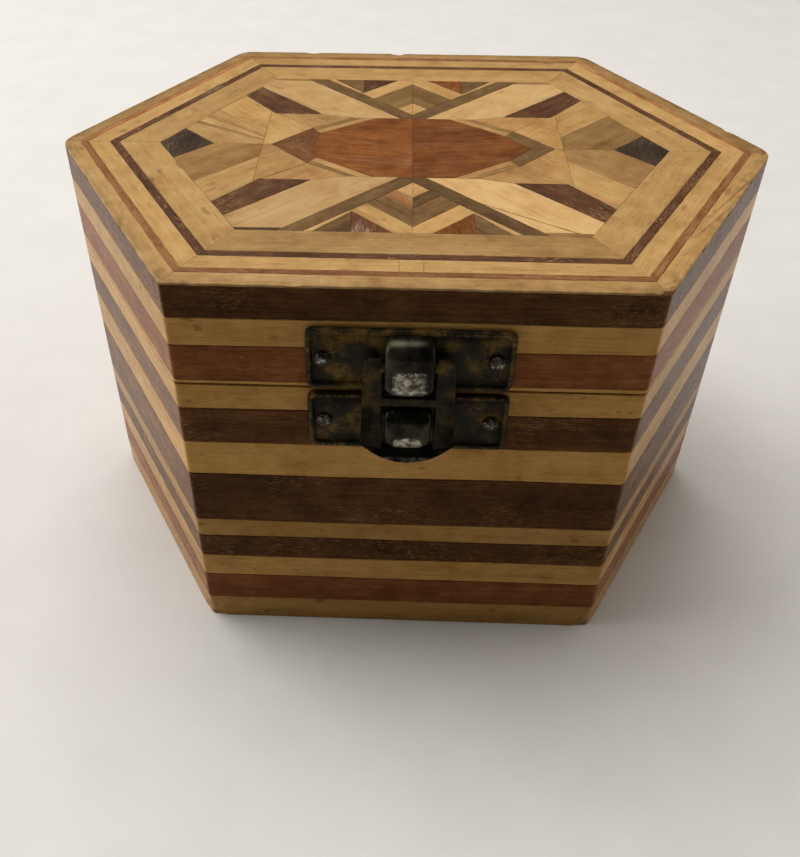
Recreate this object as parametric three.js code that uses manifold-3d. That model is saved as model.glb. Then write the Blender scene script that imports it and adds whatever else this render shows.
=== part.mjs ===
// Six-sided wooden organizer box: striped, mitred walls, a marquetry lid on two back hinges and a brass hasp.
// Millimetres, +Z up. The origin is the middle of the underside, and the front face looks along -Y.
import * as THREE from "three";
import { mergeVertices } from "three/addons/utils/BufferGeometryUtils.js";
import Module from "manifold-3d";

const wasm = await Module();
wasm.setup();

// Driving dimensions of the wooden box
const FRONT_LENGTH = 72;
const SLANT_LENGTH = 53;
const HEIGHT = 74.7;
const BOX_RIM = 56.4;
const SEAM = 0.3;
const WALL = 6;
const BASE_THICKNESS = 5;
const LID_PANEL_THICKNESS = 4;
const VENEER = 0.9;
const GLUE_GAP = 0.2;
const WORN_ARRIS = 0.35;

// Lid border, from the outside in: a name, a width and a wood for each band
const BORDER_BANDS = [
  { name: "border_outer_pale", width: 2.7, finish: "paleVeneer" },
  { name: "border_red_line", width: 1.6, finish: "redVeneer" },
  { name: "border_middle_pale", width: 3.2, finish: "paleVeneer" },
  { name: "border_dark_line", width: 1.7, finish: "darkVeneer" },
  { name: "border_inner_pale", width: 6.1, finish: "paleVeneer" },
];

// Lid field, as distances from its middle in one quarter; the other quarters mirror it
const LOZENGE_TIP = 25;
const LOZENGE_SHOULDER = [18.2, 7.2];
const LOZENGE_FLAT = 12;
const LOZENGE_FLAT_HALF = 11;
const HEART_TIP = 20.8;
const HEART_SHOULDER = [16.6, 5];
const ARM_FOOT_HALF = 2.3;
const ARM_FORK = 13.8;
const BAR_INNER_END = 13.4;
const BAR_INNER_POINT = 16.8;
const BAR_INNER_HEEL = 25.6;
const BAR_OUTER_HEEL = 32.3;
const BAR_OUTER_POINT = 29.7;
const RHOMBUS_POINT = 35.2;

// Hasp at the front, with heights above the underside and distances out from the front face
const PLATE_WIDTH = 31;
const PLATE_HEIGHT = 10.8;
const PLATE_CORNER = 1.3;
const PLATE_SHEET = 0.6;
const PLATE_SEAT = 0.1;
const PLATE_RIM_WIDTH = 1;
const PLATE_RIM_HEIGHT = 0.45;
const UPPER_PLATE_Z = 62.5;
const LOWER_PLATE_Z = 50.75;
const STRAP_WIDTH = 7;
const STRAP_SHEET = 0.9;
const KNUCKLE_TOP = 4.9;
const KNUCKLE_BOTTOM = -4.5;
const KNUCKLE_REACH = 4.6;
const STUD_TOP = 4.2;
const STUD_BOTTOM = -2.1;
const STUD_REACH = 4.1;
const HASP_WIDTH = 14.6;
const HASP_SHEET = 0.8;
const HASP_OUT = 2.45;
const HASP_PIN_RADIUS = 0.75;
const HASP_SHOULDER = 1.5;
const HASP_WINDOW_HALF = 4;
const HASP_CROSSBAR_TOP = -5.6;
const HASP_CROSSBAR_BOTTOM = -7.2;
const HASP_WINDOW_BOTTOM = -14.3;
const HASP_BEND = -15;
const TONGUE_SAG = 3.6;
const TONGUE_FLARE = THREE.MathUtils.degToRad(32);
const CLASP_NAIL_HALF_SPACING = 13;

// Two butt hinges at the back, with their pins on the level of the seam
const HINGE_SPACING = 40;
const HINGE_WIDTH = 15;
const LEAF_HEIGHT = 8.5;
const LEAF_SHEET = 0.6;
const LEAF_CORNER = 0.8;
const BARREL_RADIUS = 1.35;
const BARREL_BORE = 0.78;
const BARREL_OUT = 1.6;
const BARREL_CLEARANCE = 0.3;
const PIN_RADIUS = 0.6;
const HINGE_NAIL_HALF_SPACING = 4.6;
const HINGE_NAIL_RISE = 5.6;

// Domed nails, the same for the hasp and the hinges
const NAIL_HEAD_RADIUS = 1.25;
const NAIL_HEAD_RIM = 0.2;
const NAIL_HEAD_HEIGHT = 0.6;
const NAIL_SHANK_RADIUS = 0.55;
const NAIL_SHANK_LENGTH = 4.5;
const NAIL_HOLE_RADIUS = 0.75;
const NAIL_HOLE_DEPTH = 5;

// Facets of round shapes
const CURVE_SEGMENTS = 6;
const TONGUE_SEGMENTS = 14;
const ROUND_SEGMENTS = 16;
const HOLE_SEGMENTS = 12;

const FINISHES = {
  stripedWood: { color: 0x8f6438, roughness: 0.42, metalness: 0 },
  plainWood: { color: 0xb48d58, roughness: 0.6, metalness: 0 },
  paleVeneer: { color: 0xc9a266, roughness: 0.38, metalness: 0 },
  redVeneer: { color: 0x8a4a22, roughness: 0.36, metalness: 0 },
  darkVeneer: { color: 0x5c3d28, roughness: 0.38, metalness: 0 },
  oliveVeneer: { color: 0x8c7448, roughness: 0.4, metalness: 0 },
  blackVeneer: { color: 0x3c2e26, roughness: 0.4, metalness: 0 },
  agedBrass: { color: 0x5e4c28, roughness: 0.45, metalness: 0.9 },
  nailSteel: { color: 0x8a8278, roughness: 0.4, metalness: 1 },
};

const TAN_30 = Math.tan(Math.PI / 6);
const SIN_60 = Math.sin(Math.PI / 3);
const TAN_60 = Math.tan(Math.PI / 3);
const HALF_DEPTH = SLANT_LENGTH * SIN_60;
const LID_RIM = BOX_RIM + SEAM;
const PANEL_TOP = HEIGHT - VENEER - GLUE_GAP / 2;
const HINGE_AXIS_Z = BOX_RIM + SEAM / 2;
const PLATE_FACE = PLATE_SEAT + PLATE_SHEET;
const BORDER_WIDTH = BORDER_BANDS.reduce((sum, band) => sum + band.width, 0);
const SIDES = ["front", "front_right", "back_right", "back", "back_left", "front_left"];

const box = new THREE.Group();

// Adds one named piece with a material of its own
function addPiece(parent, name, geometry, finish) {
  const mesh = new THREE.Mesh(geometry, new THREE.MeshStandardMaterial(FINISHES[finish]));
  mesh.name = name;
  parent.add(mesh);
  return mesh;
}

function solidOf(geometry) {
  const bare = geometry.clone();
  bare.deleteAttribute("normal");
  bare.deleteAttribute("uv");
  const merged = mergeVertices(bare);
  return new wasm.Manifold(
    new wasm.Mesh({
      numProp: 3,
      vertProperties: merged.attributes.position.array,
      triVerts: new Uint32Array(merged.index.array),
    }),
  );
}

function geometryOf(solid) {
  const mesh = solid.getMesh();
  const geometry = new THREE.BufferGeometry();
  geometry.setAttribute("position", new THREE.BufferAttribute(mesh.vertProperties, 3));
  geometry.setIndex(new THREE.BufferAttribute(mesh.triVerts, 1));
  geometry.computeVertexNormals();
  return geometry;
}

function join(geometries) {
  return geometryOf(geometries.map(solidOf).reduce((whole, piece) => whole.add(piece)));
}

function cut(geometry, cutters) {
  const start = solidOf(geometry);
  return geometryOf(cutters.map(solidOf).reduce((whole, cutter) => whole.subtract(cutter), start));
}

// Corners of the box's six-sided outline, moved inwards, counterclockwise from the front left
function hexagon(inset) {
  const front = FRONT_LENGTH / 2 - inset * TAN_30;
  const depth = HALF_DEPTH - inset;
  const width = (FRONT_LENGTH + SLANT_LENGTH) / 2 - inset / SIN_60;
  const half = [[front, -depth], [width, 0], [front, depth]];
  const mirrored = half.map(([x, y]) => [-x, y]).reverse();
  return [[-front, -depth], ...half, ...mirrored.slice(0, 2)];
}

function shapeOf(points) {
  return new THREE.Shape(points.map(([x, y]) => new THREE.Vector2(x, y)));
}

// A flat piece of constant thickness between two heights
function slab(shape, bottom, top) {
  const geometry = new THREE.ExtrudeGeometry(shape, {
    depth: top - bottom,
    bevelEnabled: false,
    curveSegments: CURVE_SEGMENTS,
  });
  return geometry.translate(0, 0, bottom);
}

// A sheet drawn as width and height, standing between two distances along +Y
function sheet(shape, near, far, segments = CURVE_SEGMENTS) {
  const geometry = new THREE.ExtrudeGeometry(shape, {
    depth: far - near,
    bevelEnabled: false,
    curveSegments: segments,
  });
  return geometry.translate(0, 0, near).rotateX(Math.PI / 2).rotateZ(Math.PI);
}

// A side profile drawn as distance along +Y and height, drawn out along X between two places
function profile(shape, left, right, segments = CURVE_SEGMENTS) {
  const geometry = new THREE.ExtrudeGeometry(shape, {
    depth: right - left,
    bevelEnabled: false,
    curveSegments: segments,
  });
  const outward = new THREE.Vector3(0, 1, 0);
  const up = new THREE.Vector3(0, 0, 1);
  const across = new THREE.Vector3(1, 0, 0);
  geometry.translate(0, 0, left);
  return geometry.applyMatrix4(new THREE.Matrix4().makeBasis(outward, up, across));
}

// A round cutter or pin along Y, at a place across and a height
function rodAlongY(radius, near, far, x, z) {
  const rod = new THREE.CylinderGeometry(radius, radius, far - near, HOLE_SEGMENTS);
  return rod.translate(x, (near + far) / 2, z);
}

function roundedRectangle(width, bottom, top, radius) {
  const half = width / 2;
  const shape = new THREE.Shape();
  shape.moveTo(-half + radius, bottom);
  shape.lineTo(half - radius, bottom);
  shape.absarc(half - radius, bottom + radius, radius, -Math.PI / 2, 0);
  shape.lineTo(half, top - radius);
  shape.absarc(half - radius, top - radius, radius, 0, Math.PI / 2);
  shape.lineTo(-half + radius, top);
  shape.absarc(-half + radius, top - radius, radius, Math.PI / 2, Math.PI);
  shape.lineTo(-half, bottom + radius);
  shape.absarc(-half + radius, bottom + radius, radius, Math.PI, Math.PI * 1.5);
  return shape;
}

// Moves every edge of an outline inwards by half a glue line
function glued(points) {
  const count = points.length;
  const area = THREE.ShapeUtils.area(points.map(([x, y]) => ({ x, y })));
  const move = (Math.sign(area) * GLUE_GAP) / 2;
  const edges = points.map(([x, y], i) => {
    const [nextX, nextY] = points[(i + 1) % count];
    const length = Math.hypot(nextX - x, nextY - y);
    const along = [(nextX - x) / length, (nextY - y) / length];
    return { start: [x - along[1] * move, y + along[0] * move], along };
  });
  return edges.map((edge, i) => {
    const before = edges[(i + count - 1) % count];
    const gapX = edge.start[0] - before.start[0];
    const gapY = edge.start[1] - before.start[1];
    const turn = before.along[0] * edge.along[1] - before.along[1] * edge.along[0];
    const travel = (gapX * edge.along[1] - gapY * edge.along[0]) / turn;
    return [before.start[0] + before.along[0] * travel, before.start[1] + before.along[1] * travel];
  });
}

// One wall board in its own frame: the outer face on y = 0, both ends mitred, the outer arrises worn
function wallBoard(length, bottom, top) {
  const end = length / 2 - GLUE_GAP / 2;
  const lean = WALL * TAN_30;
  const right = [
    [end - 2 * WORN_ARRIS, 0],
    [end - WORN_ARRIS / 2, WORN_ARRIS * SIN_60],
    [end - lean, WALL],
  ];
  const left = right.map(([x, y]) => [-x, y]).reverse();
  return slab(shapeOf([...right, ...left]), bottom, top);
}

// Places a wall board along one side of the outline
function placeOnSide(mesh, side) {
  const corners = hexagon(0);
  const [startX, startY] = corners[side];
  const [endX, endY] = corners[(side + 1) % corners.length];
  mesh.position.set((startX + endX) / 2, (startY + endY) / 2, 0);
  mesh.rotation.z = (side * Math.PI) / 3;
}

const nailPairs = (halfSpacing, middle, z) => [
  { x: middle - halfSpacing, z },
  { x: middle + halfSpacing, z },
];

// Nail places on the front and back faces, for the box and the lid
const hingeMiddles = [-HINGE_SPACING / 2, HINGE_SPACING / 2];
const hingeNails = (rise) =>
  hingeMiddles.flatMap((middle) =>
    nailPairs(HINGE_NAIL_HALF_SPACING, middle, HINGE_AXIS_Z + rise),
  );
const NAILS = {
  box: {
    front: nailPairs(CLASP_NAIL_HALF_SPACING, 0, LOWER_PLATE_Z),
    back: hingeNails(-HINGE_NAIL_RISE),
  },
  lid: {
    front: nailPairs(CLASP_NAIL_HALF_SPACING, 0, UPPER_PLATE_Z),
    back: hingeNails(HINGE_NAIL_RISE),
  },
};

const nailHoles = (places, near, far) =>
  places.map(({ x, z }) => rodAlongY(NAIL_HOLE_RADIUS, near, far, x, z));

// The six walls of the box or of the lid
function addWalls(body, bottom, top) {
  SIDES.forEach((side, i) => {
    const length = i % 3 === 0 ? FRONT_LENGTH : SLANT_LENGTH;
    const board = wallBoard(length, bottom, top);
    const places = NAILS[body][side];
    const geometry = places ? cut(board, nailHoles(places, -1, NAIL_HOLE_DEPTH)) : board;
    placeOnSide(addPiece(box, `${body}_wall_${side}`, geometry, "stripedWood"), i);
  });
}

function addPanels() {
  const inside = shapeOf(hexagon(WALL + GLUE_GAP));
  addPiece(box, "base_panel", slab(inside, 0, BASE_THICKNESS), "plainWood");
  addPiece(box, "lid_panel", slab(inside, PANEL_TOP - LID_PANEL_THICKNESS, PANEL_TOP), "plainWood");
}

function addVeneer(name, shape, finish) {
  addPiece(box, name, slab(shape, HEIGHT - VENEER, HEIGHT), finish);
}

// Border bands: each is a ring of six mitred strips
function addBorder() {
  let outside = 0;
  BORDER_BANDS.forEach(({ name, width, finish }) => {
    const ring = shapeOf(hexagon(outside === 0 ? 0 : outside + GLUE_GAP / 2));
    ring.holes.push(new THREE.Path(shapeOf(hexagon(outside + width - GLUE_GAP / 2)).getPoints()));
    addVeneer(name, ring, finish);
    outside += width;
  });
}

// A quarter's outline continued through mirror images
const mirrorX = (points) => points.map(([x, y]) => [-x, y]).reverse();
const mirrorY = (points) => points.map(([x, y]) => [x, -y]).reverse();

const QUARTERS = [
  { name: "front_left", flip: ([x, y]) => [-x, -y] },
  { name: "front_right", flip: ([x, y]) => [x, -y] },
  { name: "back_right", flip: ([x, y]) => [x, y] },
  { name: "back_left", flip: ([x, y]) => [-x, y] },
];

// Field tiles: a lozenge, V arms with fans between them, broad tiles, dark bars, and side fans with rhombi
function addField() {
  const corners = hexagon(BORDER_WIDTH);
  const [fieldWidth] = corners[2];
  const [fieldFront, fieldDepth] = corners[3];
  const onBorder = (x) => [x, (fieldWidth - x) * TAN_60];
  const armOuter = [fieldDepth - LOZENGE_FLAT + ARM_FOOT_HALF, fieldDepth];
  const armInner = [fieldDepth - ARM_FORK, fieldDepth];
  const armFoot = [ARM_FOOT_HALF, LOZENGE_FLAT];
  const flatEnd = [LOZENGE_FLAT_HALF, LOZENGE_FLAT];
  const barPoint = [BAR_INNER_POINT, BAR_INNER_END];
  const barHeel = [BAR_INNER_HEEL, BAR_INNER_END];
  const barOuterHeel = onBorder(BAR_OUTER_HEEL);
  const barOuterPoint = onBorder(BAR_OUTER_POINT);
  const rhombusRise = ((fieldWidth - RHOMBUS_POINT) * TAN_60) / (1 + TAN_60);
  const rhombusTop = [RHOMBUS_POINT + rhombusRise, rhombusRise];
  const addTile = (name, points, finish) => addVeneer(name, shapeOf(glued(points)), finish);

  const heartRight = [[HEART_TIP, 0], HEART_SHOULDER, LOZENGE_SHOULDER, flatEnd];
  const heartBack = [...heartRight, ...mirrorX(heartRight)];
  addTile("lozenge_heart", [...heartBack, ...mirrorY(heartBack).slice(1, -1)], "redVeneer");

  const tipBack = [[LOZENGE_TIP, 0], LOZENGE_SHOULDER, HEART_SHOULDER, [HEART_TIP, 0]];
  const tip = [...tipBack, ...mirrorY(tipBack).slice(1, -1)];
  const sideBack = [
    [LOZENGE_TIP, 0],
    LOZENGE_SHOULDER,
    flatEnd,
    barPoint,
    barHeel,
    barOuterHeel,
    rhombusTop,
    [RHOMBUS_POINT, 0],
  ];
  const sideFan = [...sideBack, ...mirrorY(sideBack).slice(1, -1)];
  const rhombus = [[RHOMBUS_POINT, 0], [rhombusTop[0], -rhombusTop[1]], [fieldWidth, 0], rhombusTop];
  [["left", mirrorX], ["right", (points) => points]].forEach(([side, place]) => {
    addTile(`lozenge_tip_${side}`, place(tip), "darkVeneer");
    addTile(`side_fan_${side}`, place(sideFan), "oliveVeneer");
    addTile(`side_rhombus_${side}`, place(rhombus), "blackVeneer");
  });

  const armRight = [armFoot, armOuter, armInner];
  const arms = [...armRight, [0, ARM_FORK], ...mirrorX(armRight)];
  const fan = [[0, ARM_FORK], armInner, [-armInner[0], armInner[1]]];
  [["front", mirrorY], ["back", (points) => points]].forEach(([side, place]) => {
    addTile(`v_arms_${side}`, place(arms), "darkVeneer");
    addTile(`fan_${side}`, place(fan), "oliveVeneer");
  });

  const broad = [armFoot, flatEnd, barPoint, barOuterPoint, [fieldFront, fieldDepth], armOuter];
  const bar = [barPoint, barHeel, barOuterHeel, barOuterPoint];
  QUARTERS.forEach(({ name, flip }) => {
    addTile(`broad_tile_${name}`, broad.map(flip), "paleVeneer");
    addTile(`dark_bar_${name}`, bar.map(flip), "darkVeneer");
  });
}

// A strap pressed out of its plate: it leaves the plate at the top, bulges out and comes back below
function strapShape(top, bottom, reach) {
  const shape = new THREE.Shape();
  const back = PLATE_FACE - PLATE_SHEET / 2;
  const inner = reach - STRAP_SHEET;
  const waist = bottom + (top - bottom) * 0.3;
  const brow = bottom + (top - bottom) * 0.6;
  shape.moveTo(back, bottom);
  shape.lineTo(reach * 0.55, bottom);
  shape.quadraticCurveTo(reach, bottom, reach, waist);
  shape.lineTo(reach, brow);
  shape.bezierCurveTo(reach, top - reach * 0.25, reach * 0.7, top, back, top);
  shape.lineTo(back, top - STRAP_SHEET);
  shape.bezierCurveTo(inner * 0.7, top - STRAP_SHEET, inner, top - STRAP_SHEET - inner * 0.25, inner, brow);
  shape.lineTo(inner, waist);
  shape.quadraticCurveTo(inner, bottom + STRAP_SHEET, inner * 0.55, bottom + STRAP_SHEET);
  shape.lineTo(back, bottom + STRAP_SHEET);
  return shape;
}

// A stamped plate with a raised rim, nail holes and a strap, around its own middle
function claspPlate(strap) {
  const half = PLATE_HEIGHT / 2;
  const outline = roundedRectangle(PLATE_WIDTH, -half, half, PLATE_CORNER);
  const rim = roundedRectangle(PLATE_WIDTH, -half, half, PLATE_CORNER);
  const well = roundedRectangle(
    PLATE_WIDTH - 2 * PLATE_RIM_WIDTH,
    -half + PLATE_RIM_WIDTH,
    half - PLATE_RIM_WIDTH,
    PLATE_CORNER / 2,
  );
  rim.holes.push(new THREE.Path(well.getPoints(CURVE_SEGMENTS)));
  const plate = join([
    sheet(outline, PLATE_SEAT, PLATE_FACE),
    sheet(rim, PLATE_SEAT, PLATE_FACE + PLATE_RIM_HEIGHT),
    profile(strap, -STRAP_WIDTH / 2, STRAP_WIDTH / 2),
  ]);
  return cut(plate, nailHoles(nailPairs(CLASP_NAIL_HALF_SPACING, 0, 0), 0, PLATE_FACE + 1));
}

// The hasp around its pivot: two arms, a crossbar, a window for the stud and a flared tongue
function haspGeometry() {
  const near = HASP_OUT - HASP_SHEET / 2;
  const far = HASP_OUT + HASP_SHEET / 2;
  const half = HASP_WIDTH / 2;
  const frame = new THREE.Shape();
  frame.moveTo(-half, HASP_BEND);
  frame.lineTo(half, HASP_BEND);
  frame.lineTo(half, 0);
  frame.absarc(half - HASP_SHOULDER, 0, HASP_SHOULDER, 0, Math.PI / 2);
  frame.lineTo(-half + HASP_SHOULDER, HASP_SHOULDER);
  frame.absarc(-half + HASP_SHOULDER, 0, HASP_SHOULDER, Math.PI / 2, Math.PI);
  const slot = new THREE.BoxGeometry(
    2 * HASP_WINDOW_HALF,
    2 * HASP_OUT,
    2 * (HASP_SHOULDER - HASP_CROSSBAR_TOP),
  );
  slot.translate(0, HASP_OUT, HASP_SHOULDER);
  const window = new THREE.BoxGeometry(
    2 * HASP_WINDOW_HALF,
    2 * HASP_OUT,
    HASP_CROSSBAR_BOTTOM - HASP_WINDOW_BOTTOM,
  );
  window.translate(0, HASP_OUT, (HASP_CROSSBAR_BOTTOM + HASP_WINDOW_BOTTOM) / 2);

  const radius = (half * half + TONGUE_SAG * TONGUE_SAG) / (2 * TONGUE_SAG);
  const spread = Math.asin(half / radius);
  const lip = new THREE.Shape();
  lip.moveTo(half, HASP_SHEET / 2);
  lip.lineTo(-half, HASP_SHEET / 2);
  lip.absarc(0, radius - TONGUE_SAG, radius, -Math.PI / 2 - spread, -Math.PI / 2 + spread);
  const tongue = sheet(lip, -HASP_SHEET / 2, HASP_SHEET / 2, TONGUE_SEGMENTS);
  tongue.rotateX(TONGUE_FLARE).translate(0, HASP_OUT, HASP_BEND);

  const pin = new THREE.CylinderGeometry(HASP_PIN_RADIUS, HASP_PIN_RADIUS, HASP_WIDTH - 3, HOLE_SEGMENTS);
  pin.rotateZ(Math.PI / 2).translate(0, HASP_OUT, 0);
  return join([cut(sheet(frame, near, far), [slot, window]), tongue, pin]);
}

function nailGeometry() {
  const profilePoints = [
    [0, -NAIL_SHANK_LENGTH],
    [NAIL_SHANK_RADIUS, -NAIL_SHANK_LENGTH],
    [NAIL_SHANK_RADIUS, 0],
    [NAIL_HEAD_RADIUS, 0],
    [NAIL_HEAD_RADIUS, NAIL_HEAD_RIM],
    [NAIL_HEAD_RADIUS * 0.6, NAIL_HEAD_HEIGHT * 0.85],
    [0, NAIL_HEAD_HEIGHT],
  ];
  return new THREE.LatheGeometry(
    profilePoints.map(([radius, y]) => new THREE.Vector2(radius, y)),
    HOLE_SEGMENTS,
  );
}

function addNails(face, name, places, seat) {
  places.forEach((place, i) => {
    const nail = addPiece(face, `${name}_${i + 1}`, nailGeometry(), "nailSteel");
    nail.position.set(place.x, seat, place.z);
  });
}

// The hasp's two plates, the hasp itself and their nails, on a group whose +Y leaves the front face
function addClasp() {
  const face = new THREE.Group();
  face.position.set(0, -HALF_DEPTH, 0);
  face.rotation.z = Math.PI;
  box.add(face);
  const knuckle = strapShape(KNUCKLE_TOP, KNUCKLE_BOTTOM, KNUCKLE_REACH);
  const stud = strapShape(STUD_TOP, STUD_BOTTOM, STUD_REACH);
  addPiece(face, "clasp_plate_upper", claspPlate(knuckle), "agedBrass").position.z = UPPER_PLATE_Z;
  addPiece(face, "clasp_plate_lower", claspPlate(stud), "agedBrass").position.z = LOWER_PLATE_Z;
  addPiece(face, "hasp", haspGeometry(), "agedBrass").position.z = UPPER_PLATE_Z;
  addNails(face, "clasp_nail_upper", NAILS.lid.front, PLATE_FACE + PLATE_SEAT);
  addNails(face, "clasp_nail_lower", NAILS.box.front, PLATE_FACE + PLATE_SEAT);
}

// One hinge leaf with its part of the barrel, around the pin's axis; up is 1 for the lid and -1 for the box
function hingeLeaf(up, barrelSpans) {
  const near = PLATE_SEAT;
  const far = PLATE_SEAT + LEAF_SHEET;
  const neck = BARREL_RADIUS + BARREL_CLEARANCE;
  const levels = [up * neck, up * (neck + LEAF_HEIGHT)].sort((a, b) => a - b);
  const pieces = [sheet(roundedRectangle(HINGE_WIDTH, levels[0], levels[1], LEAF_CORNER), near, far)];
  barrelSpans.forEach(([left, right]) => {
    const tab = new THREE.BoxGeometry(right - left, LEAF_SHEET, neck + LEAF_CORNER * 2);
    pieces.push(tab.translate((left + right) / 2, (near + far) / 2, (up * (neck + LEAF_CORNER * 2)) / 2));
    const ring = new THREE.Shape().absarc(BARREL_OUT, 0, BARREL_RADIUS, 0, Math.PI * 2);
    pieces.push(profile(ring, left, right, ROUND_SEGMENTS));
  });
  const bore = new THREE.CylinderGeometry(BARREL_BORE, BARREL_BORE, 2 * HINGE_WIDTH, HOLE_SEGMENTS);
  bore.rotateZ(Math.PI / 2).translate(0, BARREL_OUT, 0);
  const nails = nailPairs(HINGE_NAIL_HALF_SPACING, 0, up * HINGE_NAIL_RISE);
  return cut(join(pieces), [bore, ...nailHoles(nails, 0, far + 1)]);
}

function addHinges() {
  const face = new THREE.Group();
  face.position.set(0, HALF_DEPTH, 0);
  box.add(face);
  const third = HINGE_WIDTH / 3;
  const half = HINGE_WIDTH / 2;
  const play = BARREL_CLEARANCE / 2;
  const boxSpans = [
    [-half, -half + third - play],
    [half - third + play, half],
  ];
  const lidSpans = [[-half + third + play, half - third - play]];
  ["left", "right"].forEach((side, i) => {
    const hinge = new THREE.Group();
    hinge.position.set(hingeMiddles[i], 0, HINGE_AXIS_Z);
    face.add(hinge);
    addPiece(hinge, `hinge_${side}_box_leaf`, hingeLeaf(-1, boxSpans), "agedBrass");
    addPiece(hinge, `hinge_${side}_lid_leaf`, hingeLeaf(1, lidSpans), "agedBrass");
    const pin = new THREE.CylinderGeometry(PIN_RADIUS, PIN_RADIUS, HINGE_WIDTH, HOLE_SEGMENTS);
    pin.rotateZ(Math.PI / 2).translate(0, BARREL_OUT, 0);
    addPiece(hinge, `hinge_${side}_pin`, pin, "nailSteel");
  });
  const seat = PLATE_SEAT + LEAF_SHEET + PLATE_SEAT;
  addNails(face, "hinge_nail_box", NAILS.box.back, seat);
  addNails(face, "hinge_nail_lid", NAILS.lid.back, seat);
}

addPanels();
addWalls("box", 0, BOX_RIM);
addWalls("lid", LID_RIM, PANEL_TOP);
addBorder();
addField();
addClasp();
addHinges();

export default box;
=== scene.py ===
"""Six-sided wooden box with striped walls, a marquetry lid and a brass hasp, dressed for a studio view."""

import math
import random

import bmesh
import bpy
from mathutils import Matrix, Vector, noise


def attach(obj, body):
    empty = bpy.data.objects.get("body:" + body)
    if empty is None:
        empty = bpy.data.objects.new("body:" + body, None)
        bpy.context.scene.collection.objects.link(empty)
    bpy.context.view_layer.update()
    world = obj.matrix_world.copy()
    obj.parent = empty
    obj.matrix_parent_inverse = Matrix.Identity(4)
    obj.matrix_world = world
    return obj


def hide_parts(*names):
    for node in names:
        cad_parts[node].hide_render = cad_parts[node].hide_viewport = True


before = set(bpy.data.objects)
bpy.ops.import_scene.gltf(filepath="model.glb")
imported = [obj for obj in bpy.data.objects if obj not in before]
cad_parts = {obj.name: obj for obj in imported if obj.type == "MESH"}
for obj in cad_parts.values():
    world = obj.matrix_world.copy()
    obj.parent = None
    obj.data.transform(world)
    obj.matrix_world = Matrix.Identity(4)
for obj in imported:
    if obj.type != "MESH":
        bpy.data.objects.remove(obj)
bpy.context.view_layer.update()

# Sizes in millimetres; the veneers are thinner than in the solids
MM = 0.001
FRONT = 72.0
SLANT = 53.0
HEIGHT = 74.7
WALL = 6.0
BASE = 5.0
SHEET = 0.35
SHEET_GAP = 0.02
BOX_RIM = 56.4
LID_RIM = 56.7
PANEL_UNDERSIDE = 69.7
PANEL_TOP = HEIGHT - SHEET - SHEET_GAP
HALF_WIDTH = (FRONT + SLANT) / 2
HALF_DEPTH = SLANT * math.sin(math.pi / 3)
GLUE = 0.03
JOINT = 0.012
SIDES = ("front", "front_right", "back_right", "back", "back_left", "front_left")

# Strips of the walls from the bottom up: upper edge, wood and tone
BOX_STRIPS = (
    (5.7, "strip", 0.68),
    (11.95, "red", 0.95),
    (17.3, "strip", 0.87),
    (22.45, "dark", 0.94),
    (26.6, "strip", 0.7),
    (37.55, "dark", 1.08),
    (44.7, "strip", 0.93),
    (51.7, "dark", 1.16),
    (BOX_RIM, "strip", 0.95),
)
LID_STRIPS = (
    (57.35, "strip", 0.95),
    (63.8, "red", 1.0),
    (68.8, "strip", 0.9),
    (PANEL_TOP, "dark", 1.0),
)

# Painted light and sheen: how much paler each wood is painted on the slanted walls, which catch more light
SLANT_PAINTED_LIGHT = {"dark": 1.7, "red": 1.25, "strip": 1.2}

# Border bands of the lid from the outside in: node, width, wood, slot and the tone of each side
BORDER = (
    ("border_outer_pale", 2.85, "pale", "pale_veneer", (0.85, 1.0, 0.7, 0.72, 0.72, 0.88)),
    ("border_red_line", 1.25, "russet", "red_veneer", (0.82, 0.9, 1.12, 1.05, 1.15, 0.86)),
    ("border_middle_pale", 3.4, "pale", "pale_veneer", (0.92, 1.0, 1.0, 0.85, 1.0, 1.0)),
    ("border_dark_line", 1.5, "bar", "dark_veneer", (1.0, 1.0, 1.0, 1.2, 1.25, 1.0)),
    ("border_inner_pale", 6.3, "pale", "pale_veneer", (0.7, 0.85, 0.9, 0.92, 0.8, 0.86)),
)

# Cross joints in a border strip, as places along x
CROSS_JOINTS = {"border_middle_pale_front": (-2.0, 1.6)}

# Radius of the worn vertical corners, counterclockwise from the front left
CORNER_WEAR = (1.0, 1.4, 4.5, 4.0, 4.0, 4.5)

# Nicks in the upper edge: plan position, radius and depth
NICKS = (
    ((35.9, -45.8), 1.9, 0.5),
    ((43.2, -33.0), 1.0, 0.25),
    ((49.6, -21.8), 1.1, 0.28),
    ((56.0, -10.8), 1.0, 0.25),
    ((57.3, 9.4), 1.2, 0.15),
    ((-45.4, -29.8), 1.1, 0.2),
    ((-54.6, -13.6), 1.3, 0.2),
    ((-21.0, 45.9), 1.5, 0.15),
    ((-3.0, 45.9), 1.5, 0.25),
    ((-17.0, -45.9), 1.1, 0.25),
)

rng = random.Random(41)


def linear(red, green, blue):
    """An sRGB colour in 0 to 255 as linear RGBA."""
    values = []
    for channel in (red, green, blue):
        c = channel / 255
        values.append(c / 12.92 if c <= 0.04045 else ((c + 0.055) / 1.055) ** 2.4)
    return (*values, 1.0)


# Materials


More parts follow.
